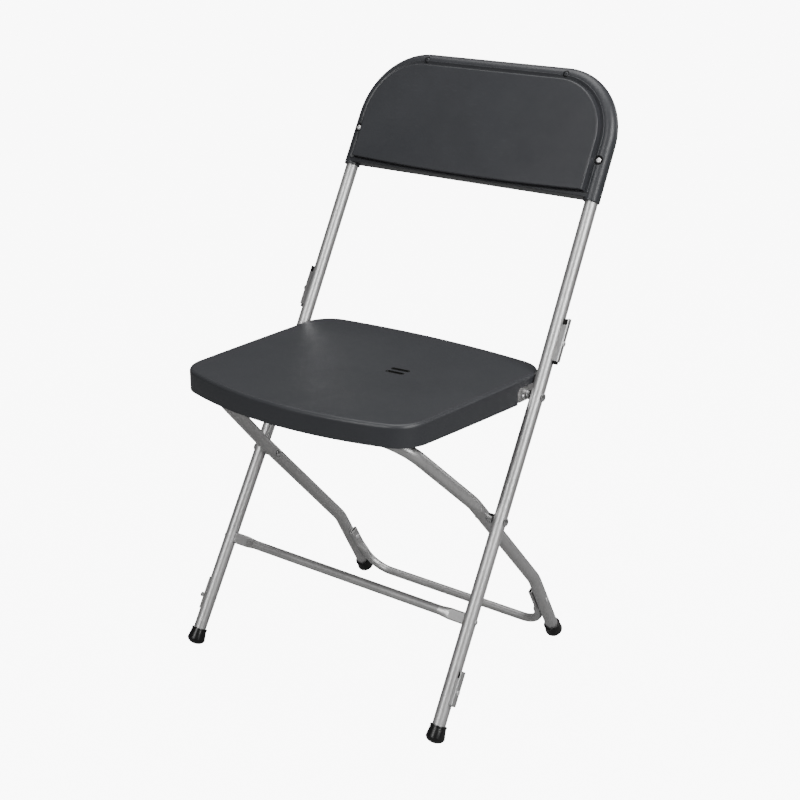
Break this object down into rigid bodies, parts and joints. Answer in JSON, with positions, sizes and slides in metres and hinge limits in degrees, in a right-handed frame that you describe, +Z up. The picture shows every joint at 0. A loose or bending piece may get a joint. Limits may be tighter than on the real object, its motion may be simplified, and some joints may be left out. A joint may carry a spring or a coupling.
{
  "type": "folding chair",
  "caption": "Folding chair with a bent tube frame, hinged rear legs, a moulded seat that swings up and a moulded backrest, with clips that link chairs in a row.",
  "frame": {"origin": "on the floor under the middle of the open chair's box", "axes": "+Z up, -Y to the front where the sitter faces, +X to the sitter's left when seated, which is the side with the sockets"},
  "size_m": [0.4581, 0.4952, 0.7966],
  "materials": {
    "frame_paint": "smooth silver-grey paint on steel tube",
    "clip_steel": "silver-grey paint on pressed steel",
    "rivet_steel": "plain steel",
    "black_rivet": "black",
    "liner_plastic": "black moulding",
    "seat_plastic": "fine-grained charcoal moulding",
    "back_plastic": "fine-grained charcoal moulding",
    "foot_rubber": "black rubber"
  },
  "bodies": {
    "frame": {"back_frame": "frame_paint", "backrest": "back_plastic", "backrest_side_rivets": "rivet_steel", "backrest_top_rivets": "black_rivet", "front_foot_left": "foot_rubber", "front_foot_right": "foot_rubber", "front_stretcher": "frame_paint", "leg_pivot_pin_left": "rivet_steel", "leg_pivot_pin_right": "rivet_steel", "leg_pivot_spacer_left": "rivet_steel", "leg_pivot_spacer_right": "rivet_steel", "link_liner_lower": "liner_plastic", "link_liner_upper": "liner_plastic", "link_plate_liner": "liner_plastic", "link_plate_lower": "clip_steel", "link_plate_upper": "clip_steel", "link_socket_lower": "clip_steel", "link_socket_rivets": "rivet_steel", "link_socket_upper": "clip_steel", "link_studs": "rivet_steel", "seat_pivot_pin_left": "rivet_steel", "seat_pivot_pin_right": "rivet_steel", "seat_pivot_spacer_left": "rivet_steel", "seat_pivot_spacer_right": "rivet_steel"},
    "rear_legs": {"rear_leg_tube": "frame_paint", "rear_stretcher": "frame_paint", "rear_stretcher_rivets": "rivet_steel", "rear_foot_left": "foot_rubber", "rear_foot_right": "foot_rubber"},
    "seat": {"seat_shell": "seat_plastic", "seat_bracket_left": "clip_steel", "seat_bracket_right": "clip_steel", "seat_bracket_screws": "rivet_steel"}
  },
  "joints": [
    {"name": "leg_fold", "type": "hinge", "parent": "frame", "child": "rear_legs", "pos_m": [0, -0.04548, 0.2579], "axis": [-1, 0, 0], "range_deg": [0, 67.5]},
    {"name": "seat_fold", "type": "hinge", "parent": "frame", "child": "seat", "pos_m": [0, 0.0384, 0.40438], "axis": [-1, 0, 0], "range_deg": [0, 107.4]}
  ],
  "couplings": [
    {"joint": "seat_fold", "follows": "leg_fold", "ratio": 1.591}
  ]
}
